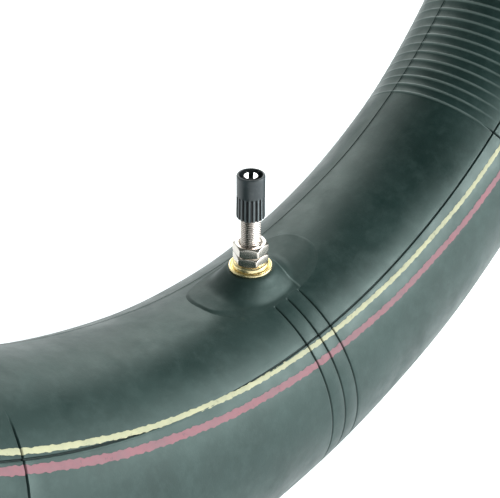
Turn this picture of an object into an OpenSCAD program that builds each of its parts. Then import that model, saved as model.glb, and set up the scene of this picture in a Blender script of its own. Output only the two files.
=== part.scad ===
// Inner tube with a straight metal valve, standing upright on its tread side.
// Millimetres. Origin: centre of the ring. Ring axis: +Y. The valve stands at the
// bottom of the ring (angle 0) and points up, +Z, towards the ring's centre.
//
// Two angles place things on the rubber:
//   along  - round the ring, 0 at the valve, positive towards +X
//   across - round the tube's own section, 0 at the valve, positive towards -Y

/* [Tube] */
// Radius of the ring that the middle of the section follows
ring_radius = 266; // [150:1:330]
// Radius of the inflated section, to its outside
section_radius = 46.8; // [15:0.1:70]
// Rubber thickness
wall = 2.2; // [1.2:0.1:4]
// Height of the moulding seams and air-bleed ribs
ridge_height = 0.45; // [0.2:0.05:0.9]
// Ribs in each air-bleed group
rib_count = 16; // [6:1:24]

/* [Valve] */
// Outside diameter of the valve stem's thread
stem_diameter = 7.7; // [6:0.05:9]
// Height of the stem's top above the rubber
stem_height = 36.5; // [28:0.5:48]
// Width of the nuts across their flats
nut_width = 12; // [10:0.5:14]
// Height of the moulded rubber base under the washer
base_height = 5.3; // [3:0.1:9]
// Outside diameter of the brass washer
washer_diameter = 16.7; // [14:0.1:22]

/* [Cap] */
// Height of the cap's lower edge above the rubber
cap_bottom = 27.8; // [22:0.1:32]
// Length of the cap
cap_length = 17.2; // [12:0.1:22]
// Diameter of the cap near its top
cap_diameter = 10.4; // [9.4:0.1:12]
// Finger grooves round the cap
flute_count = 20; // [12:1:28]

/* [Hidden] */
$fn = 96;
fit = 0.05;                       // radial clearance of a thread on its mate
stem_radius = stem_diameter / 2;
bore_radius = stem_radius + fit;
inner_reach = ring_radius - section_radius;   // from the origin to the rubber at the valve

seam_across = [-24, 42.8];        // where the mould halves met
seam_width = 0.9;
rib_start = 33.3;                 // first rib of the group nearest the valve
rib_step = 1.21;
rib_width = 0.42;                 // along the ring, in degrees
rib_groups = [0, 90, 180, 270];
line_along = [-33, -1.2, 0.6, 2.4];   // single moulded lines near the valve
line_width = 0.16;
stripe_yellow_across = 46;
stripe_red_across = 54.5;
stripe_yellow_width = 1.9;
stripe_red_width = 2.3;
paint = 0.12;

patch_thick = 1.0;
patch_half_length = 31;
patch_half_width = 17.5;
patch_middle = [3, 0.8];          // the patch isn't quite centred on the valve
patch_squareness = 2.5;           // 2 is an ellipse, more is squarer
base_radius = 18.4;               // foot of the moulded base
base_top_radius = 7.9;
base_fall = 8.5;                  // from the washer down to that foot
flange_radius = 6.6;              // stem flange, buried in the rubber base
flange_bottom = patch_thick + 0.3;
flange_thick = 1.4;
tail_radius = 3.2;                // stem below its flange, through the tube's wall

washer_flange = 1.2;
washer_thick = 3.1;
washer_boss_radius = 6.9;
lower_nut_bottom = base_height + washer_thick;
lower_nut_thick = 3.9;
upper_nut_bottom = lower_nut_bottom + lower_nut_thick;
upper_nut_thick = 4.3;

free_bottom = upper_nut_bottom + upper_nut_thick + 0.2;   // free thread between nut and cap
free_top = cap_bottom - 0.2;
thread_relief = 0.04;             // the rest of the thread is this much smaller in radius
flat_depth = 0.65;
flat_turn = -97;                  // direction that the flat faces, round the stem from +X

core_bore = 2.65;                 // radius of the thread that holds the valve core
core_bore_deep = 6.2;
throat_bore = 2.05;
throat_deep = 16;
air_bore = 1.45;
plug_radius = core_bore - 0.05;
plug_top = stem_height - 0.7;
plug_long = 4.4;
barrel_radius = 1.75;
barrel_top = plug_top - plug_long - 0.15;
barrel_long = 6.0;
pin_radius = 0.45;
pin_top = stem_height - 0.35;
pin_bottom = barrel_top - barrel_long - 3.0;
press = 1.2;                      // travel of the core's pin
cup_radius = 1.35;

cap_top = cap_bottom + cap_length;
cap_radius = cap_diameter / 2;
cap_skirt = cap_radius + 0.15;    // the cap flares a little to its lower edge
flute_top = cap_bottom + 9.2;
flute_deep = 0.34;
liner_radius = 4.5;
web_bottom = stem_height + 3.4;   // the cap's solid web under its tool end
web_top = cap_top - 2.9;
recess_radius = 4.35;
key_radius = 2.5;
key_slot = 1.8;
key_root = web_top - 1.1;

rubber = [0.24, 0.29, 0.29];
yellow = [0.86, 0.83, 0.5];
red = [0.72, 0.4, 0.38];
nickel = [0.82, 0.8, 0.76];
brass = [0.85, 0.68, 0.36];
plastic = [0.1, 0.12, 0.13];
seal = [0.15, 0.15, 0.15];

// ---- places ----

// Puts a flat drawing's ring (drawn about +Z) on the ring axis +Y, turned to an angle along it.
module along(angle) {
  rotate([90, 0, 0]) rotate([0, 0, angle - 90]) children();
}

// Everything on the valve is drawn from the rubber's surface up.
module at_valve(height = 0) {
  translate([0, 0, height - inner_reach]) children();
}

// Section drawings use +X away from the ring's centre, with the section's middle at ring_radius.
module band(low, high, from, to) {
  intersection() {
    difference() {
      translate([ring_radius, 0]) circle(r = high);
      translate([ring_radius, 0]) circle(r = low);
    }
    polygon(concat([[ring_radius, 0]],
      [for (i = [0:4]) let (a = from + (to - from) * i / 4)
        [ring_radius - 80 * cos(a), 80 * sin(a)]]));
  }
}

function across_degrees(width) = width / section_radius * 180 / PI;

module revolved(points) {
  rotate_extrude() polygon(points);
}

// The stretch of the section's outside under the valve.
module tube_solid(radius) {
  along(-10) rotate_extrude(angle = 20, $fn = 256) translate([ring_radius, 0]) circle(r = radius, $fn = 120);
}

// ---- rubber ----

module seam_bump(at) {
  translate([ring_radius - section_radius * cos(at), section_radius * sin(at)])
    circle(d = seam_width, $fn = 24);
}

module rib(at, width, from, to) {
  along(at - width / 2) rotate_extrude(angle = width)
    band(section_radius - wall / 2, section_radius + ridge_height, from, to);
}

module tube_body() color(rubber) difference() {
  union() {
    along(0) rotate_extrude() difference() {
      union() {
        translate([ring_radius, 0]) circle(r = section_radius);
        for (at = seam_across) seam_bump(at);
      }
      translate([ring_radius, 0]) circle(r = section_radius - wall);
    }
    for (group = rib_groups, i = [0:rib_count - 1])
      rib(group + rib_start + i * rib_step, rib_width, seam_across[0] + 3, seam_across[1] - 3);
    for (at = line_along)
      rib(at, line_width, at == line_along[0] ? -20 : 24, seam_across[1] - 3);
  }
  at_valve(-10) cylinder(r = tail_radius, h = 20);
}

module stripe(at, width) {
  half = across_degrees(width) / 2;
  along(0) rotate_extrude() band(section_radius, section_radius + paint, at - half, at + half);
}

module stripe_yellow() color(yellow) stripe(stripe_yellow_across, stripe_yellow_width);

module stripe_red() color(red) stripe(stripe_red_across, stripe_red_width);

// A squarish oval that lies on the rubber, long way round the ring.
function squarish(v) = sign(v) * pow(abs(v), 2 / patch_squareness);

module patch_outline() {
  translate(patch_middle) polygon([for (a = [0:5:355])
    [patch_half_length * squarish(cos(a)), patch_half_width * squarish(sin(a))]]);
}

module valve_patch() color(rubber) difference() {
  intersection() {
    tube_solid(section_radius + patch_thick);
    at_valve(-12) linear_extrude(18) patch_outline();
  }
  tube_solid(section_radius);
  at_valve(-10) cylinder(r = tail_radius, h = 20);
}

// A cone with a hollow flank that rises to the washer. Its foot follows the patch down the sides.
module valve_base() color(rubber) difference() {
  flank = [for (i = [0:8]) let (t = i / 8)
    [base_top_radius + (base_radius - base_top_radius) * t, base_height - base_fall * pow(t, 0.75)]];
  at_valve() revolved(concat([[stem_radius, base_height]], flank, [[stem_radius, base_height - base_fall]]));
  tube_solid(section_radius + patch_thick);
  at_valve(flange_bottom) cylinder(r = flange_radius, h = flange_thick);
}

// ---- stem, washer and nuts ----

module valve_stem() color(nickel) at_valve() difference() {
  union() {
    translate([0, 0, -wall]) cylinder(r = tail_radius, h = wall + flange_bottom + 0.5);
    translate([0, 0, flange_bottom]) cylinder(r = flange_radius, h = flange_thick);
    translate([0, 0, flange_bottom + 0.5])
      cylinder(r = stem_radius - thread_relief, h = stem_height - flange_bottom - 1.0);
    translate([0, 0, free_bottom]) cylinder(r = stem_radius, h = free_top - free_bottom);
    translate([0, 0, stem_height - 0.5])
      cylinder(r1 = stem_radius - thread_relief, r2 = stem_radius - 0.5, h = 0.5);
  }
  // the flat runs a little past both ends of the free thread
  rotate([0, 0, flat_turn]) translate([stem_radius - flat_depth, -5, free_bottom - 0.1])
    cube([5, 10, free_top - free_bottom + 0.2]);
  translate([0, 0, -wall - 1]) cylinder(r = air_bore, h = stem_height + 4);
  translate([0, 0, stem_height - throat_deep]) cylinder(r = throat_bore, h = throat_deep + 1);
  translate([0, 0, stem_height - core_bore_deep - 0.8])
    cylinder(r1 = throat_bore, r2 = core_bore, h = 0.8);
  translate([0, 0, stem_height - core_bore_deep]) cylinder(r = core_bore, h = core_bore_deep + 1);
}

module rim_washer() color(brass) at_valve(base_height) revolved([
  [bore_radius + 0.25, 0], [washer_diameter / 2 - 0.3, 0], [washer_diameter / 2, 0.3],
  [washer_diameter / 2, washer_flange - 0.25], [washer_diameter / 2 - 0.25, washer_flange],
  [washer_boss_radius + 0.55, washer_flange], [washer_boss_radius + 0.3, washer_flange - 0.25],
  [washer_boss_radius, washer_flange], [washer_boss_radius, washer_thick - 0.5],
  [washer_boss_radius - 0.5, washer_thick], [bore_radius + 0.25, washer_thick]]);

// A hexagon with both ends turned to a chamfer.
module nut(thick) {
  corner = nut_width / 2 / cos(30);
  intersection() {
    difference() {
      cylinder(r = corner, h = thick, $fn = 6);
      translate([0, 0, -1]) cylinder(r = bore_radius, h = thick + 2);
      translate([0, 0, thick - 0.6]) cylinder(r1 = bore_radius, r2 = bore_radius + 0.6, h = 0.61);
      translate([0, 0, -0.01]) cylinder(r1 = bore_radius + 0.35, r2 = bore_radius, h = 0.36);
    }
    revolved([[0, 0], [nut_width / 2 - 0.2, 0], [corner + 0.1, 0.62],
              [corner + 0.1, thick - 0.62], [nut_width / 2 - 0.2, thick], [0, thick]]);
  }
}

module lower_nut() color(nickel) at_valve(lower_nut_bottom) rotate([0, 0, -0.6]) nut(lower_nut_thick);

module upper_nut() color(nickel) at_valve(upper_nut_bottom) rotate([0, 0, 4.8]) nut(upper_nut_thick);

// ---- valve core ----

module core_plug() color(brass) at_valve(plug_top - plug_long) difference() {
  cylinder(r = plug_radius, h = plug_long);
  translate([0, 0, -1]) cylinder(r = pin_radius + 0.35, h = plug_long + 2);
  // two windows leave the flat bridge that the cap's key turns
  for (side = [-1, 1]) translate([side * 2.35 - 1.5, -4, plug_long - 1.9]) cube([3, 8, 2.5]);
}

module core_barrel() color(brass) at_valve(barrel_top - barrel_long) difference() {
  union() {
    cylinder(r = barrel_radius, h = barrel_long);
    translate([0, 0, barrel_long - 0.5]) cylinder(r = barrel_radius + 0.2, h = 0.5);
  }
  translate([0, 0, -1]) cylinder(r = pin_radius + 0.08, h = barrel_long + 2);
  translate([0, 0, 0.8]) cylinder(r = barrel_radius - 0.35, h = barrel_long);
}

module core_seal() color(red) at_valve(barrel_top - 2.6) difference() {
  cylinder(r1 = throat_bore - 0.06, r2 = throat_bore - 0.02, h = 1.7);
  translate([0, 0, -1]) cylinder(r = barrel_radius, h = 4);
}

module core_pin() color(brass) at_valve(pin_bottom) cylinder(r = pin_radius, h = pin_top - pin_bottom);

module core_pin_head() color(brass) at_valve(barrel_top - 0.5) difference() {
  cylinder(r = 0.95, h = 0.45);
  translate([0, 0, -1]) cylinder(r = pin_radius, h = 3);
}

// Wire wound round the pin inside the barrel.
module core_spring() {
  turns = 5;
  steps = 16;
  sides = 8;
  coil = 0.92;
  wire = 0.14;
  low = barrel_top - barrel_long + 0.8 + wire + 0.02;
  rise = barrel_top - 0.5 - wire - 0.02 - low;
  rings = turns * steps;
  points = [for (i = [0:rings], j = [0:sides - 1])
    let (a = 360 * i / steps, b = 360 * j / sides, s = coil + wire * cos(b))
      [s * cos(a), s * sin(a), low + rise * i / rings + wire * sin(b)]];
  skin = [for (i = [0:rings - 1], j = [0:sides - 1]) let (k = (j + 1) % sides)
    [i * sides + j, (i + 1) * sides + j, (i + 1) * sides + k, i * sides + k]];
  ends = [[for (j = [0:sides - 1]) j], [for (j = [sides - 1:-1:0]) rings * sides + j]];
  color(nickel) at_valve() polyhedron(points, concat(skin, ends));
}

module core_cup() color(brass) at_valve(pin_bottom) difference() {
  cylinder(r = cup_radius, h = 1.6);
  translate([0, 0, 0.9]) cylinder(r = cup_radius - 0.25, h = 1);
  translate([0, 0, -1]) cylinder(r = pin_radius, h = 4);
}

module cup_gasket() color(seal) at_valve(pin_bottom + 0.9) difference() {
  cylinder(r = cup_radius - 0.25, h = 2.1);
  translate([0, 0, -1]) cylinder(r = pin_radius, h = 4);
}

// ---- cap ----

module cap_shell() color(plastic) at_valve() difference() {
  revolved([[0, cap_bottom], [cap_skirt - 0.2, cap_bottom], [cap_skirt, cap_bottom + 0.2],
            [cap_radius, flute_top + 0.8], [cap_radius, cap_top - 0.5],
            [cap_radius - 0.35, cap_top], [0, cap_top]]);
  translate([0, 0, cap_bottom - 1]) cylinder(r = liner_radius, h = stem_height + 1.0 - cap_bottom + 1);
  translate([0, 0, cap_bottom]) cylinder(r = 3.3, h = web_bottom - cap_bottom);
  translate([0, 0, web_top]) cylinder(r = recess_radius, h = 5);
  translate([0, 0, key_root]) cylinder(r = key_radius, h = 5);
  for (i = [0:flute_count - 1]) rotate([0, 0, (i + 0.5) * 360 / flute_count])
    translate([cap_skirt + 0.25, 0, cap_bottom - 1]) {
      cylinder(r = 0.55, h = flute_top - cap_bottom + 0.6, $fn = 24);
      translate([0, 0, flute_top - cap_bottom + 0.6]) sphere(r = 0.55, $fn = 24);
    }
}

module cap_liner() color(brass) at_valve(cap_bottom + 0.8) difference() {
  cylinder(r = liner_radius, h = stem_height + 0.05 - cap_bottom - 0.8);
  translate([0, 0, -1]) cylinder(r = bore_radius, h = 20);
  translate([0, 0, -0.01]) cylinder(r1 = bore_radius + 0.4, r2 = bore_radius, h = 0.4);
}

module cap_seal() color(seal) at_valve(stem_height + 0.1) difference() {
  cylinder(r = liner_radius - 0.05, h = 0.85);
  translate([0, 0, -1]) cylinder(r = 2.75, h = 4);
}

// The forked tool on the cap's end, for turning the valve core.
module core_key() color(nickel) at_valve(key_root) difference() {
  cylinder(r = key_radius, h = cap_top - 0.5 - key_root);
  translate([0, 0, 1.1]) rotate([0, 0, 40]) translate([-5, -key_slot / 2, 0]) cube([10, key_slot, 6]);
}

tube_body();
stripe_yellow();
stripe_red();
valve_patch();
valve_base();
valve_stem();
rim_washer();
lower_nut();
upper_nut();
core_plug();
core_barrel();
core_seal();
core_pin();
core_pin_head();
core_spring();
core_cup();
cup_gasket();
cap_shell();
cap_liner();
cap_seal();
core_key();
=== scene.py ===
"""Looks for an inner tube with a straight metal valve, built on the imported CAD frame.

Sizes below are millimetres and become metres in mm(). Two angles place things on the rubber:
along, round the ring (0 at the valve, positive towards +X), and across, round the tube's
section (0 at the valve, positive towards -Y).
"""

import math

import bpy
from mathutils import Matrix, Vector


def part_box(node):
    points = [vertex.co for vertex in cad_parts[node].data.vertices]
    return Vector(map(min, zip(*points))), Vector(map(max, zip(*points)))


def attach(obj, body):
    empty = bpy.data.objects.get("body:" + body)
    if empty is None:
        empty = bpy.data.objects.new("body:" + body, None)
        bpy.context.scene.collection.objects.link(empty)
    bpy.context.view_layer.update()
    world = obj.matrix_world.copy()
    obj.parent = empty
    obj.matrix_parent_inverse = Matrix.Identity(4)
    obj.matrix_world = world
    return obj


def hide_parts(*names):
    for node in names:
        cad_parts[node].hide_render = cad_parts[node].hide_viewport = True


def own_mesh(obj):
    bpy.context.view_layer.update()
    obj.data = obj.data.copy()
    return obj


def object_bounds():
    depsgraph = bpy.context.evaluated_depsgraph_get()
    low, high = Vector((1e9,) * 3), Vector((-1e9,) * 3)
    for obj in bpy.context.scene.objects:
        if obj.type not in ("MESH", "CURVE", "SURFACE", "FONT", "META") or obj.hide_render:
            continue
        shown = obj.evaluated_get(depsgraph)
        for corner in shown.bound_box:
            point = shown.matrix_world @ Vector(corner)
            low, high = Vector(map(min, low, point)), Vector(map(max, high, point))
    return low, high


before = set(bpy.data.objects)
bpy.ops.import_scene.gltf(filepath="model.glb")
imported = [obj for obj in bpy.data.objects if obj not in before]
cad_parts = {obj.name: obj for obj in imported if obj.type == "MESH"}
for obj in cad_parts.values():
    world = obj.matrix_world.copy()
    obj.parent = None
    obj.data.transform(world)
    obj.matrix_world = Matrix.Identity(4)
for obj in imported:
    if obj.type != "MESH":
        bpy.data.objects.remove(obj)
cad_low, cad_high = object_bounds()


# ---- sizes, from the frame ----

def mm(value):
    return value / 1000


def size_of(node):
    low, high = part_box(node)
    return [(high[i] - low[i]) * 1000 for i in range(3)]


SECTION = size_of("tube_body")[1] / 2
RING = size_of("tube_body")[0] / 2 - SECTION
INNER = RING - SECTION


def height_above_rubber(node):
    """Lowest and highest point of a valve part, in mm above the rubber under the valve."""
    low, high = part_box(node)
    return low[2] * 1000 + INNER, high[2] * 1000 + INNER


WASHER_BOTTOM, WASHER_TOP = height_above_rubber("rim_washer")
WASHER_RADIUS = size_of("rim_washer")[0] / 2
LOWER_NUT = height_above_rubber("lower_nut")
UPPER_NUT = height_above_rubber("upper_nut")
STEM_BOTTOM, STEM_TOP = height_above_rubber("valve_stem")
CAP_BOTTOM, CAP_TOP = height_above_rubber("cap_shell")
CAP_SKIRT = size_of("cap_shell")[0] / 2
STEM_RADIUS = 3.85
THREAD_PITCH = 0.794
NUT_FLATS = 12.0

# ---- sizes and places on the rubber ----
#
# Places across the tube are in degrees. A span is where something starts, how far it takes to
# rise to its full size, where it ends, and how far it takes to fall back.

SEAMS = (-24.0, 42.8)
SEAM_HALF = 0.42
SEAM_DEEP = 0.5
SEAM_LIP = 0.12
SEAM_LIP_AWAY = 0.7
SEAM_LIP_HALF = 0.6

RIB_FIRST = 33.3
RIB_STEP = 1.21
RIB_COUNT = 16
RIB_GROUPS = (0, 90, 180, 270)
RIB_SPAN = (-70, 20, 43, 26)
RIB_FAR_SIDE = 0.45
RIB_HALF = 0.8
RIB_HEIGHT = 0.4

LINES = (-1.2, 0.6, 2.4)
FAR_LINE = -33.0
LINE_HALF = 0.46
LINE_DEEP = 0.75
MOULDED_LINES = [(line, (17.5, 7, 128, 8)) for line in LINES]
MOULDED_LINES += [(FAR_LINE, (28, 6, 128, 8)), (RIB_FIRST, (38, 4, 60, 10))]


# ---- mesh helpers ----

def smooth(t):
    t = min(max(t, 0.0), 1.0)
    return t * t * (3 - 2 * t)


def bump(x, half_width):
    """1 at x = 0, falling smoothly to 0 at half_width."""
    return smooth(1 - abs(x) / half_width)


def span(x, start, rise, end, fall):
    """0 outside start and end, 1 between them, with a smooth rise and fall inside both."""
    return smooth((x - start) / rise) * smooth((end - x) / fall)


def arc(degrees, radius):
    """The length of an arc."""
    return math.radians(degrees) * radius


def signed(along):
    """The same angle, from -180 to 180."""
    return (along + 180) % 360 - 180


def make_piece(name, points, faces, material, shade_smooth=True, marks=None):
    """marks is one number per point: above 0 for painted shade in a crease, below 0 for a painted
    highlight on a crest.
    """
    mesh = bpy.data.meshes.new(name)
    mesh.from_pydata(points, [], faces)
    if marks:
        mesh.attributes.new("mark", "FLOAT", "POINT").data.foreach_set("value", marks)
    mesh.validate()
    mesh.update()
    piece = bpy.data.objects.new(name, mesh)
    bpy.context.scene.collection.objects.link(piece)
    mesh.materials.append(material)
    if shade_smooth:
        mesh.polygons.foreach_set("use_smooth", [True] * len(mesh.polygons))
    return piece


def grid_faces(rows, columns, close_rows=False, close_columns=False):
    """Faces of a grid of points stored row by row."""
    faces = []
    for i in range(rows if close_rows else rows - 1):
        for j in range(columns if close_columns else columns - 1):
            a, b = i * columns + j, i * columns + (j + 1) % columns
            c = ((i + 1) % rows) * columns
            faces.append((a, b, c + (j + 1) % columns, c + j))
    return faces


def on_rubber(along, across, lift):
    """A point over the rubber, in metres."""
    a, c = math.radians(along), math.radians(across)
    reach = RING - (SECTION + lift) * math.cos(c)
    return (mm(reach * math.sin(a)), mm(-(SECTION + lift) * math.sin(c)), mm(-reach * math.cos(a)))


def at_valve(x, y, height):
    """A point by its height over the rubber at the valve, in metres."""
    return (mm(x), mm(y), mm(height - INNER))


def turn_points(rings):
    """Points of a piece round the valve's axis, from (angle, [(radius, height), ...]) rings."""
    return [at_valve(r * math.cos(angle), r * math.sin(angle), h)
            for angle, ring in rings for r, h in ring]


def revolve(name, profile, material, steps):
    """A turned piece on the valve's axis. profile is (radius, height) points."""
    points = turn_points((2 * math.pi * i / steps, profile) for i in range(steps))
    return make_piece(name, points, grid_faces(steps, len(profile), True, True), material)


def rounded(corners, radius, steps):
    """A closed outline with its corners rounded, as (x, y) points."""
    out = []
    count = len(corners)
    for i in range(count):
        before, here, after = (Vector(corners[(i + k) % count]) for k in (-1, 0, 1))
        to_before, to_after = before - here, after - here
        cut = min(radius, to_before.length * 0.45, to_after.length * 0.45)
        start, end = here + to_before.normalized() * cut, here + to_after.normalized() * cut
        for k in range(steps + 1):
            t = k / steps
            p = start * (1 - t) ** 2 + here * 2 * t * (1 - t) + end * t ** 2
            out.append((p.x, p.y))
    return out


# ---- materials ----

class Nodes:
    """A material's node tree, with short calls for the nodes this scene uses."""

    def __init__(self, name):
        self.material = bpy.data.materials.new(name)
        self.material.use_nodes = True
        self.tree = self.material.node_tree
        self.shader = self.tree.nodes["Principled BSDF"]
        self.place = self.add("ShaderNodeTexCoord").outputs["Object"]

    def add(self, kind, **values):
        made = self.tree.nodes.new(kind)
        for key, value in values.items():
            setattr(made, key, value)
        return made

    def link(self, source, target):
        self.tree.links.new(source, target)

    def noise(self, scale, detail=4.0, roughness=0.55, stretch=None):
        made = self.add("ShaderNodeTexNoise")
        made.inputs["Scale"].default_value = scale
        made.inputs["Detail"].default_value = detail
        made.inputs["Roughness"].default_value = roughness
        place = self.place
        if stretch:
            mapping = self.add("ShaderNodeMapping")
            mapping.inputs["Scale"].default_value = stretch
            self.link(place, mapping.inputs["Vector"])
            place = mapping.outputs["Vector"]
        self.link(place, made.inputs["Vector"])
        return made.outputs["Fac"]

    def grey(self, source, low, high, start=0.3, end=0.7):
        """A ramp from one grey level at start to another at end."""
        made = self.add("ShaderNodeValToRGB")
        stops = zip(made.color_ramp.elements, (start, end), (low, high))
        for element, position, level in stops:
            element.position = position
            element.color = (level, level, level, 1)
        self.link(source, made.inputs["Fac"])
        return made.outputs["Color"]

    def mix(self, factor, a, b):
        made = self.add("ShaderNodeMix", data_type="RGBA", clamp_factor=True)
        self.link(factor, made.inputs["Factor"])
        for socket, value in ((made.inputs[6], a), (made.inputs[7], b)):
            if isinstance(value, tuple):
                socket.default_value = (*value, 1)
            else:
                self.link(value, socket)
        return made.outputs[2]

    def painted_shade_and_highlight(self, colour, crease, crest):
        """Paints shade into creases and a highlight onto crests, from the mesh's own marks."""
        mark = self.add("ShaderNodeAttribute", attribute_name="mark").outputs["Fac"]
        flip = self.add("ShaderNodeMath", operation="MULTIPLY")
        flip.inputs[1].default_value = -1.0
        self.link(mark, flip.inputs[0])
        return self.mix(flip.outputs[0], self.mix(mark, colour, crease), crest)

    def bump_from(self, source, distance, strength):
        made = self.add("ShaderNodeBump")
        made.inputs["Distance"].default_value = distance
        made.inputs["Strength"].default_value = strength
        self.link(source, made.inputs["Height"])
        self.link(made.outputs["Normal"], self.shader.inputs["Normal"])


def butyl(name, dark, light, bloom, roughness=0.40):
    """Satin butyl rubber with a cloudy bloom and a fine moulded grain."""
    n = Nodes(name)
    cloud = n.noise(34, 5, 0.66)
    dust = n.noise(160, 6, 0.7)
    base = n.mix(n.grey(cloud, 0, 1, 0.32, 0.7), dark, light)
    colour = n.mix(n.grey(dust, 0, 0.45, 0.46, 0.74), base, bloom)
    # Near-black painted shade in grooves and seam creases, pale green-grey painted highlight on rib
    # and ridge crests, from the mesh's marks.
    n.link(n.painted_shade_and_highlight(colour, (0.002, 0.004, 0.005), (0.13, 0.17, 0.16)), n.shader.inputs["Base Color"])
    sheen = n.grey(n.noise(75, 5, 0.65), roughness - 0.07, roughness + 0.10)
    n.link(sheen, n.shader.inputs["Roughness"])
    n.bump_from(n.noise(1500, 3, 0.6), 0.00006, 0.5)
    n.shader.inputs["Specular IOR Level"].default_value = 0.5
    n.shader.inputs["Specular Tint"].default_value = (0.80, 1.0, 0.94, 1)
    return n.material


def marking_paint(name, colour, worn, rubber):
    """Thin paint on rubber, streaky and worn through in spots."""
    n = Nodes(name)
    streak = n.noise(90, 5, 0.65)
    wear = n.noise(420, 4, 0.7)
    base = n.mix(n.grey(streak, 0, 1, 0.35, 0.7), colour, worn)
    colour = n.mix(n.grey(wear, 0, 1, 0.62, 0.78), base, rubber)
    # Painted shade where moulded grooves cross the paint; crests keep the paint's own colour.
    n.link(n.painted_shade_and_highlight(colour, (0.004, 0.005, 0.006), colour), n.shader.inputs["Base Color"])
    n.link(n.grey(wear, 0.5, 0.65), n.shader.inputs["Roughness"])
    n.bump_from(n.noise(900, 3), 0.00005, 0.4)
    return n.material


def plated(name, colour, tint, roughness):
    """Plated or turned metal with faint turning marks and tarnish."""
    n = Nodes(name)
    tarnish = n.noise(240, 4, 0.6)
    turned = n.noise(500, 2, 0.5, (1, 1, 14))
    blotched = n.mix(n.grey(tarnish, 0, 0.8, 0.4, 0.75), colour, tint)
    # Painted shade in creases such as the thread roots, at a fifth of the tarnish colour; crests keep
    # the metal's colour.
    n.link(n.painted_shade_and_highlight(blotched, tuple(c * 0.2 for c in tint), blotched), n.shader.inputs["Base Color"])
    n.link(n.grey(turned, roughness * 0.8, roughness * 1.3), n.shader.inputs["Roughness"])
    n.bump_from(turned, 0.00002, 0.35)
    n.shader.inputs["Metallic"].default_value = 1.0
    return n.material


def moulded_plastic(name, colour, scuffed):
    """Satin black plastic with random scuffs, painted shade in its grooves and a painted highlight on
    its crests.
    """
    n = Nodes(name)
    scuff = n.noise(380, 5, 0.65)
    worn = n.mix(n.grey(scuff, 0, 0.7, 0.5, 0.8), colour, scuffed)
    # Near-black painted shade in the flute grooves and inside the cap, pale painted highlight on the
    # flute crests.
    n.link(n.painted_shade_and_highlight(worn, (0.001, 0.001, 0.0015), (0.16, 0.19, 0.2)), n.shader.inputs["Base Color"])
    n.link(n.grey(n.noise(300, 3), 0.30, 0.42), n.shader.inputs["Roughness"])
    n.bump_from(n.noise(2600, 2), 0.00003, 0.4)
    n.shader.inputs["Specular IOR Level"].default_value = 0.55
    return n.material


RUBBER = butyl("butyl", (0.006, 0.019, 0.017), (0.016, 0.036, 0.033), (0.042, 0.070, 0.065))
PATCH_RUBBER = butyl("patch_rubber", (0.005, 0.016, 0.014), (0.014, 0.032, 0.029),
                     (0.040, 0.066, 0.061), 0.52)
YELLOW = marking_paint("yellow_paint", (0.49, 0.48, 0.29), (0.34, 0.35, 0.23), (0.12, 0.14, 0.12))
RED = marking_paint("red_paint", (0.27, 0.10, 0.12), (0.20, 0.10, 0.115), (0.07, 0.075, 0.08))
NICKEL = plated("nickel", (0.82, 0.75, 0.70), (0.68, 0.60, 0.55), 0.24)
NUT_NICKEL = plated("nut_nickel", (0.72, 0.66, 0.60), (0.56, 0.50, 0.45), 0.20)
BRASS = plated("washer_brass", (0.90, 0.76, 0.44), (0.76, 0.60, 0.30), 0.24)
CORE_BRASS = plated("core_brass", (0.80, 0.60, 0.30), (0.60, 0.44, 0.22), 0.28)
STEEL = plated("key_steel", (0.90, 0.89, 0.87), (0.60, 0.60, 0.60), 0.18)
CAP_PLASTIC = moulded_plastic("cap_plastic", (0.028, 0.038, 0.042), (0.065, 0.08, 0.085))
SEAL_RUBBER = butyl("gasket_rubber", (0.012, 0.012, 0.012), (0.02, 0.02, 0.02), (0.05, 0.05, 0.05))
SEAL_RED = butyl("core_seal", (0.30, 0.04, 0.03), (0.38, 0.06, 0.05), (0.45, 0.12, 0.1))


# ---- rubber ----

def rib_places():
    """Where the ribs are along the ring, in degrees."""
    return [group + RIB_FIRST + i * RIB_STEP for group in RIB_GROUPS for i in range(RIB_COUNT)]


def stations(low, high, coarse, *details):
    """Angles from low to high, close together near marks. A detail is (marks, step, reach)."""
    steps = round((high - low) / coarse)
    places = {low + (high - low) * i / steps for i in range(steps)}
    for marks, step, reach in details:
        count = round(reach / step)
        places.update(mark + k * step for mark in marks for k in range(-count, count + 1))
    closest = min(step for _, step, _ in details) * 0.45
    kept = []
    for place in sorted(p for p in places if low <= p < high):
        if not kept or place - kept[-1] > closest:
            kept.append(place)
    return kept


def seam_lift(across):
    """A fine crease where the mould closed, with a low raised lip beside it."""
    lift = 0.0
    for seam in SEAMS:
        away = arc(across - seam, SECTION)
        lip = bump(away - SEAM_LIP_AWAY, SEAM_LIP_HALF)
        lift += SEAM_LIP * lip - SEAM_DEEP * bump(away, SEAM_HALF)
    return lift


def seam_crease(across):
    """1 in the middle of a seam's crease, 0 away from it."""
    return max(bump(arc(across - seam, SECTION), SEAM_HALF) for seam in SEAMS)


def rib_lift(along, across, ribs):
    """Air-bleed ribs run over the rim side and fade out on the side walls, from 0 to 1."""
    fade = span(across, *RIB_SPAN)
    if across < SEAMS[0]:
        fade *= RIB_FAR_SIDE
    if fade <= 0:
        return 0.0
    nearest = min(abs(signed(along - rib)) for rib in ribs)
    return fade * bump(arc(nearest, INNER), RIB_HALF)


def line_depth(along, across):
    """Fine moulded grooves across the rubber, from 0 to 1."""
    return max(span(across, *ends) * bump(arc(signed(along) - line, INNER), LINE_HALF)
               for line, ends in MOULDED_LINES)


def settle(along, across):
    """Slow waves that keep the rubber from looking turned on a lathe."""
    a, c = math.radians(along), math.radians(across)
    return (0.22 * math.sin(5 * a + 1.3) * math.cos(c + 0.6) + 0.13 * math.sin(11 * a + 2 * c)
            + 0.08 * math.sin(23 * a - 3 * c + 0.5) - 0.43)


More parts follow.
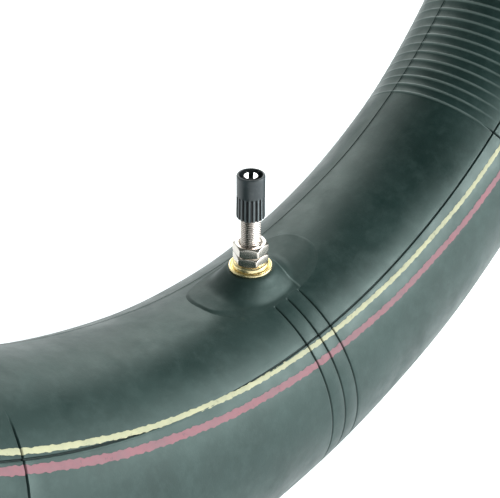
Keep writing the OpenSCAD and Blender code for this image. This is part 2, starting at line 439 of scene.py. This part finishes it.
def build_tube():
    """The rubber ring's skin, with its seams, ribs and moulded lines."""
    ribs = rib_places()
    lines = [line % 360 for line, _ in MOULDED_LINES]
    along_at = stations(0, 360, 1.5, ([r % 360 for r in ribs], 0.07, 0.21), (lines, 0.05, 0.15))
    across_at = stations(-180, 180, 4.0, (SEAMS, 0.17, 1.7))
    points, marks = [], []
    for along in along_at:
        for across in across_at:
            rib, line = rib_lift(along, across, ribs), line_depth(along, across)
            lift = seam_lift(across) + RIB_HEIGHT * rib - LINE_DEEP * line + settle(along, across)
            points.append(on_rubber(along, across, min(lift, RIB_HEIGHT)))
            # Painted shade in the moulded lines and seam creases, painted highlight on the rib
            # crests.
            marks.append(max(line ** 0.6, seam_crease(across) ** 0.7) - 0.9 * rib)
    faces = grid_faces(len(along_at), len(across_at), True, True)
    piece = make_piece("tube_skin", points, faces, RUBBER, marks=marks)
    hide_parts("tube_body")
    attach(piece, "tube")


# ---- patch and cone ----

PATCH_HALF = (31.0, 17.5)
PATCH_MIDDLE = (3.0, 0.8)
PATCH_SQUARENESS = 2.5
PLATE = 0.55
CONE_FOOT = 19.0
CONE_TOP = 7.7
RIDGE_PLACE = 9.4
RIDGE_SLANT = 0.06
RIDGE_LIFT = 0.3


def patch_reach(angle):
    """How far the patch's rounded edge is from the valve, towards an angle round the valve."""
    low, high = 0.0, 60.0
    for _ in range(30):
        reach = (low + high) / 2
        x = (reach * math.cos(angle) - PATCH_MIDDLE[0]) / PATCH_HALF[0]
        y = (reach * math.sin(angle) - PATCH_MIDDLE[1]) / PATCH_HALF[1]
        if abs(x) ** PATCH_SQUARENESS + abs(y) ** PATCH_SQUARENESS < 1:
            low = reach
        else:
            high = reach
    return low


def mound_lift(reach, edge, front):
    """Thickness of the patch and cone over the rubber. The patch's edge is softer at the front."""
    foot = (CONE_FOOT ** -6 + (edge - 0.6) ** -6) ** (-1 / 6)
    t = min(max((reach - CONE_TOP) / (foot - CONE_TOP), 0.0), 1.0)
    cone = (WASHER_BOTTOM - PLATE) * (1 - smooth(t)) ** 1.15
    plate = PLATE * (1 - 0.5 * front) * smooth((edge - reach) / (1.8 + 4 * front))
    tucked_edge = 0.25 * smooth((reach - edge + 0.4) / 0.8)
    return cone + plate - tucked_edge


def mound_ridge(x, y, reach, edge):
    """A raised ridge across the patch, with a painted highlight along it, that meets the last groove
    at its edge, from 0 to 1.
    """
    beside = x - RIDGE_PLACE - RIDGE_SLANT * (7 - y)
    ends = smooth((11 - y) / 5) * smooth((reach - 8) / 1.5) * smooth((edge - reach) / 2)
    return bump(beside, 0.6) * ends


def build_mound():
    """The reinforcement patch and the cone that rises from it to the washer."""
    turns, rings = 300, 90
    hole = STEM_RADIUS - 0.1
    points, marks = [], []
    for i in range(turns):
        angle = 2 * math.pi * i / turns
        edge = patch_reach(angle)
        for j in range(rings):
            reach = hole + (edge + 0.5 - hole) * j / (rings - 1)
            x, y = reach * math.cos(angle), reach * math.sin(angle)
            along, across = math.degrees(x / INNER), -math.degrees(y / SECTION)
            ridge = mound_ridge(x, y, reach, edge)
            lift = mound_lift(reach, edge, smooth((-y - 3) / 8)) + RIDGE_LIFT * ridge
            over = Vector(on_rubber(along, across, lift + settle(along, across)))
            seat = Vector(at_valve(x, y, WASHER_BOTTOM + 0.02))
            points.append(seat.lerp(over, smooth((reach - CONE_TOP + 0.4) / 4.0)))
            # Painted highlight along the ridge.
            marks.append(-0.55 * ridge)
    faces = grid_faces(turns, rings, True, False)
    piece = make_piece("valve_mound", points, faces, PATCH_RUBBER, marks=marks)
    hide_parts("valve_patch", "valve_base")
    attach(piece, "tube")


# ---- stripes ----

PAINT_LIFT = 0.10
RAGGED = 0.2


def wobble(a, phase):
    """Small ragged steps of a paint edge, in a range of about one either side of 0."""
    waves = ((307, 0.5), (463, 0.42), (701, 0.34), (151, 0.4))
    return sum(size * math.sin(count * a + phase * (k + 1)) for k, (count, size) in enumerate(waves))


def build_stripe(name, node, material, middle, sway, width, phase):
    """A thin, slightly ragged line of paint round the side wall."""
    lanes = 4
    places = stations(0, 360, 0.16, ([line % 360 for line in (*LINES, FAR_LINE)], 0.05, 0.25))
    points, marks = [], []
    half = math.degrees(width / 2 / SECTION)
    for along in places:
        a = math.radians(along)
        centre = middle + sway * math.sin(a) + 0.10 * math.sin(31 * a + phase)
        low = centre - half * (1 + RAGGED * wobble(a, phase))
        high = centre + half * (1 + RAGGED * wobble(a, phase + 1.7))
        for j in range(lanes):
            across = low + (high - low) * j / (lanes - 1)
            crown = 0.0 if j in (0, lanes - 1) else 0.05
            line = line_depth(along, across)
            lift = settle(along, across) + PAINT_LIFT - LINE_DEEP * line + crown
            points.append(on_rubber(along, across, lift))
            # Painted shade where the moulded lines cross the paint.
            marks.append(line ** 0.6)
    faces = grid_faces(len(places), lanes, True, False)
    piece = make_piece(name, points, faces, material, marks=marks)
    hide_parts(node)
    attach(piece, "tube")


# ---- valve ----

THREAD_DEEP = 0.42
THREAD_INSET = 0.02
FLAT_TURN = math.radians(-97)
FLAT_REACH = 3.2
STEM_CHAMFER = 0.5
CORE_BORE, SEAT_BORE, AIR_BORE, SHANK = 2.65, 2.05, 1.45, 3.2


def thread_root(angle, height):
    """A right-hand thread: 0 on its flat crest, 1 in its rounded root."""
    t = (height / THREAD_PITCH - angle / (2 * math.pi)) % 1.0
    return 1 - smooth((abs(t - 0.5) - 0.1) / 0.34)


def stem_radius(angle, height):
    """The stem's outside: a thread that runs out at the top, cut by one long flat."""
    depth = THREAD_DEEP * thread_root(angle, height) * smooth((STEM_TOP - 0.3 - height) / 0.6)
    radius = STEM_RADIUS - THREAD_INSET - depth
    away = math.cos(angle - FLAT_TURN)
    if UPPER_NUT[1] + 0.2 < height < CAP_BOTTOM - 0.2 and radius * away > FLAT_REACH:
        radius = FLAT_REACH / away
    return radius


def build_stem():
    """The threaded stem with its stepped bore."""
    turns, samples = 120, 14
    low, high = WASHER_BOTTOM - 0.5, STEM_TOP
    rows = round((high - low) / THREAD_PITCH * samples)
    core_end, seat_start, seat_end = STEM_TOP - 6.2, STEM_TOP - 7, STEM_TOP - 16
    inside = [(2.9, STEM_TOP), (CORE_BORE, STEM_TOP), (CORE_BORE, core_end),
              (SEAT_BORE, seat_start), (SEAT_BORE, seat_end), (AIR_BORE, seat_end),
              (AIR_BORE, STEM_BOTTOM), (SHANK, STEM_BOTTOM), (SHANK, 0.8), (SHANK, low)]
    rings, marks = [], []
    for i in range(turns):
        angle = 2 * math.pi * i / turns
        ring = []
        for j in range(rows + 1):
            height = low + (high - low) * j / rows
            chamfer = smooth((height - high + STEM_CHAMFER) / STEM_CHAMFER) * 0.45
            radius, root = stem_radius(angle, height), thread_root(angle, height)
            ring.append((radius - chamfer, height))
            full_thread = STEM_RADIUS - THREAD_INSET - THREAD_DEEP * root
            # Painted shade in the thread roots where the thread is full.
            marks.append(0.75 * root if abs(radius - full_thread) < 0.02 else 0.0)
        rings.append((angle, ring + inside))
        marks += [0.0] * len(inside)
    faces = grid_faces(turns, rows + 1 + len(inside), True, True)
    piece = make_piece("threaded_stem", turn_points(rings), faces, NICKEL, marks=marks)
    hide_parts("valve_stem")
    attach(piece, "tube")


def build_washer():
    """Pressed washer: rolled outer lip, a groove, and a raised seat for the nut."""
    b, t, r = WASHER_BOTTOM, WASHER_TOP, WASHER_RADIUS
    hole, groove = STEM_RADIUS + 0.35, b + 0.72
    outline = rounded([(hole, b), (r - 0.4, b), (r, b + 0.35), (r, b + 1.15), (r - 0.55, b + 1.3),
                       (r - 1.0, groove), (r - 1.35, groove), (r - 1.5, t - 0.5), (r - 2.2, t),
                       (hole, t)], 0.28, 4)
    piece = revolve("pressed_washer", outline, BRASS, 128)
    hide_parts("rim_washer")
    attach(piece, "washer")


NUT_CHAMFER = 0.3
NUT_CORNER_CUT = 0.10
CHAMFER_SLOPE = 0.72


def build_nut(name, node, body, heights, turn):
    """A hexagon nut, chamfered by a cone on both ends, with rounded edges and a countersink."""
    low, high = heights
    steps, edge, half = 180, 0.14, NUT_FLATS / 2
    bore, face = STEM_RADIUS + 0.08, half - NUT_CHAMFER
    corner = half / math.cos(math.pi / 6) - NUT_CORNER_CUT
    rings = []
    for i in range(steps):
        angle = 2 * math.pi * i / steps
        wall = min(half / math.cos(angle % (math.pi / 3) - math.pi / 6), corner)
        drop = max(0.04, (wall - face) * CHAMFER_SLOPE)
        outline = rounded([(bore, low + 0.5), (bore + 0.37, low), (face, low), (wall, low + drop),
                           (wall, high - drop), (face, high), (bore + 0.67, high),
                           (bore, high - 0.75)], edge, 3)
        rings.append((angle + math.radians(turn), outline))
    faces = grid_faces(steps, len(outline), True, True)
    piece = make_piece(name, turn_points(rings), faces, NUT_NICKEL)
    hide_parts(node)
    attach(piece, body)


CAP_FLARE = 0.15
CAP_RADIUS = CAP_SKIRT - CAP_FLARE
LOW_EDGE = 0.3
TOP_EDGE = 0.55
FLUTES = 20
FLUTE_TOP = CAP_BOTTOM + 9.4
FLUTE_DEEP = 0.55


def cap_radius(angle, height):
    """The cap's outside: smooth above, with round-ended finger grooves below."""
    radius = CAP_RADIUS + CAP_FLARE * smooth((FLUTE_TOP + 1 - height) / 9.5)
    wave = 0.5 + 0.5 * math.cos(FLUTES * angle)
    groove = smooth((0.62 - wave) / 0.42) * smooth((FLUTE_TOP - 0.2 - height) / 0.9)
    radius -= FLUTE_DEEP * groove
    over_low, under_top = height - CAP_BOTTOM, CAP_TOP - height
    if over_low < LOW_EDGE:
        radius -= LOW_EDGE - math.sqrt(max(0, LOW_EDGE ** 2 - (LOW_EDGE - over_low) ** 2))
    if under_top < TOP_EDGE:
        radius -= 0.5 * (1 - math.sqrt(max(0, 1 - (1 - under_top / TOP_EDGE) ** 2)))
    return radius


def build_cap():
    """The fluted cap, hollow below for the stem and above for the key."""
    turns, body = FLUTES * 16, 44
    body_low, body_high = CAP_BOTTOM + LOW_EDGE + 0.05, CAP_TOP - TOP_EDGE - 0.05
    heights = [CAP_BOTTOM + LOW_EDGE * (1 - math.cos(math.pi * k / 12)) for k in range(6)]
    heights += [body_low + (body_high - body_low) * k / body for k in range(body + 1)]
    heights += [CAP_TOP - TOP_EDGE * math.cos(math.pi / 2 * k / 6) for k in range(7)]
    web_top, hollow_top = CAP_TOP - 2.9, STEM_TOP + 1.0
    socket, well, neck, hollow = 4.35, 2.5, 3.3, 4.5
    well_floor, neck_top = web_top - 1.1, web_top - 1.6
    inside = [(socket + 0.07, CAP_TOP), (socket, CAP_TOP - 0.08), (socket, web_top),
              (well, web_top), (well, well_floor), (0.01, well_floor), (0.01, neck_top),
              (neck, neck_top), (neck, hollow_top), (hollow, hollow_top),
              (hollow, CAP_BOTTOM + 0.4), (hollow + 0.1, CAP_BOTTOM)]
    rings, marks = [], []
    for i in range(turns):
        angle = 2 * math.pi * i / turns
        rings.append((angle, [(cap_radius(angle, h), h) for h in heights] + inside))
        # Painted shade in the flute grooves and a painted highlight on their crests, below the flute
        # tops; painted shade over all the inside surfaces.
        valley = smooth(0.9 - math.cos(FLUTES * angle) * 1.3)
        marks += [(1.6 * valley - 0.75) * smooth((FLUTE_TOP - h) / 0.8) for h in heights]
        marks += [0.6] * len(inside)
    faces = grid_faces(turns, len(heights) + len(inside), True, True)
    piece = make_piece("fluted_cap", turn_points(rings), faces, CAP_PLASTIC, marks=marks)
    piece.data.set_sharp_from_angle(angle=math.radians(40))
    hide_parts("cap_shell")
    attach(piece, "cap")


def build_spring():
    """The valve core's spring, as one fixed coil."""
    low, high = height_above_rubber("core_spring")
    coil, wire, turns, steps, sides = 0.92, 0.14, 5, 24, 10
    points = []
    for i in range(turns * steps + 1):
        a = 2 * math.pi * i / steps
        middle = low + wire + (high - low - 2 * wire) * i / (turns * steps)
        for k in range(sides):
            b = 2 * math.pi * k / sides
            reach, height = coil + wire * math.cos(b), middle + wire * math.sin(b)
            points.append(at_valve(reach * math.cos(a), reach * math.sin(a), height))
    faces = grid_faces(turns * steps + 1, sides, False, True)
    last = turns * steps * sides
    faces += [tuple(range(sides - 1, -1, -1)), tuple(range(last, last + sides))]
    piece = make_piece("coil_spring", points, faces, STEEL)
    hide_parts("core_spring")
    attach(piece, "core")
    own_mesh(piece)


def soften_edges(piece, width):
    """Small bevels on sharp edges, so that they catch the light."""
    bevel = piece.modifiers.new("edges", "BEVEL")
    bevel.width = mm(width)
    bevel.segments = 2
    bevel.limit_method = "ANGLE"
    bevel.angle_limit = math.radians(35)


def dress_cad():
    """Better materials on the CAD nodes that stay as they are."""
    finishes = {"core_plug": CORE_BRASS, "core_barrel": CORE_BRASS, "core_pin": CORE_BRASS,
                "core_pin_head": CORE_BRASS, "core_cup": CORE_BRASS, "cap_liner": CORE_BRASS,
                "core_key": STEEL, "cup_gasket": SEAL_RUBBER,
                "cap_seal": SEAL_RUBBER, "core_seal": SEAL_RED}
    for node, material in finishes.items():
        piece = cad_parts[node]
        piece.data.materials.clear()
        piece.data.materials.append(material)
    soften_edges(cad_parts["core_key"], 0.12)
    soften_edges(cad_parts["core_plug"], 0.08)


# ---- studio ----

def build_camera():
    """The photograph's view: close on the valve, from the left and above."""
    azimuth, elevation, roll = math.radians(-49.48), math.radians(33.22), math.radians(0.29)
    place = Vector((-0.20904, -0.17840, -0.02596))
    sensor, focal_in_widths = 36, 1.7512
    back = Vector((math.sin(azimuth) * math.cos(elevation), -math.cos(azimuth) * math.cos(elevation),
                   math.sin(elevation)))
    right = Vector((0, 0, 1)).cross(back).normalized()
    up = back.cross(right)
    turned = right * math.cos(roll) + up * math.sin(roll)
    upright = up * math.cos(roll) - right * math.sin(roll)
    camera = bpy.data.objects.new("camera", bpy.data.cameras.new("camera"))
    bpy.context.scene.collection.objects.link(camera)
    matrix = Matrix((turned, upright, back)).transposed().to_4x4()
    matrix.translation = place
    camera.matrix_world = matrix
    camera.data.sensor_width = sensor
    camera.data.lens = focal_in_widths * sensor
    camera.data.clip_start = 0.01
    camera.data.clip_end = 50
    bpy.context.scene.camera = camera


def area_light(name, place, aim, size, power, colour):
    """A soft rectangular light at place, turned towards aim."""
    light = bpy.data.lights.new(name, "AREA")
    light.shape = "RECTANGLE"
    light.size, light.size_y = size
    light.energy = power
    light.color = colour
    lamp = bpy.data.objects.new(name, light)
    bpy.context.scene.collection.objects.link(lamp)
    lamp.location = place
    lamp.rotation_euler = (Vector(aim) - Vector(place)).to_track_quat("-Z", "Y").to_euler()


def build_floor():
    """A pale paper floor just under the tube."""
    half, level = 6.0, cad_low[2] - 0.0005
    n = Nodes("paper_floor")
    n.link(n.mix(n.grey(n.noise(3, 3), 0, 1), (0.93, 0.935, 0.94), (0.9, 0.905, 0.91)),
           n.shader.inputs["Base Color"])
    n.shader.inputs["Roughness"].default_value = 0.9
    n.shader.inputs["Emission Color"].default_value = (0.93, 0.98, 1.0, 1)
    n.shader.inputs["Emission Strength"].default_value = 0.75
    corners = [(x * half, y * half, level) for x, y in ((-1, -1), (1, -1), (1, 1), (-1, 1))]
    make_piece("floor", corners, [(0, 1, 2, 3)], n.material, False)


def build_world():
    """A light tent: bright paper walls, fading above 25 degrees to a dim opening overhead."""
    world = bpy.data.worlds.new("studio")
    bpy.context.scene.world = world
    world.use_nodes = True
    tree = world.node_tree
    split = tree.nodes.new("ShaderNodeSeparateXYZ")
    tree.links.new(tree.nodes.new("ShaderNodeTexCoord").outputs["Generated"], split.inputs[0])
    ramp = tree.nodes.new("ShaderNodeValToRGB")
    walls, opening = ramp.color_ramp.elements
    walls.position, walls.color = 0.42, (0.93, 1.0, 0.98, 1)
    opening.position, opening.color = 0.72, (0.10, 0.115, 0.11, 1)
    tree.links.new(split.outputs["Z"], ramp.inputs["Fac"])
    sky = tree.nodes["Background"]
    tree.links.new(ramp.outputs["Color"], sky.inputs["Color"])
    sky.inputs["Strength"].default_value = 1.0


def build_lights():
    """Two soft boxes aimed at the valve and a low wash along the side wall."""
    valve = (0, 0, mm(-INNER))
    area_light("front_right", (1.30, -1.32, 0.50), valve, (1.3, 1.05), 23, (0.95, 0.98, 1.0))
    area_light("back_right", (0.95, 0.90, 0.62), valve, (1.2, 0.9), 9, (0.97, 1.0, 0.98))
    area_light("floor_wash", (0.55, -0.95, 0.35), (0.30, -0.45, -0.32), (0.6, 0.4), 9,
               (0.97, 0.99, 1.0))


build_tube()
build_mound()
build_stripe("yellow_line", "stripe_yellow", YELLOW, 45.5, 10.0, 1.8, 0.4)
build_stripe("red_line", "stripe_red", RED, 53.3, 13.0, 2.5, 2.1)
build_stem()
build_washer()
build_nut("clamp_nut", "lower_nut", "lower_nut", LOWER_NUT, -0.6)
build_nut("jam_nut", "upper_nut", "upper_nut", UPPER_NUT, 4.8)
build_cap()
build_spring()
dress_cad()
build_camera()
build_floor()
build_world()
build_lights()
bpy.context.scene.view_settings.view_transform = "Standard"
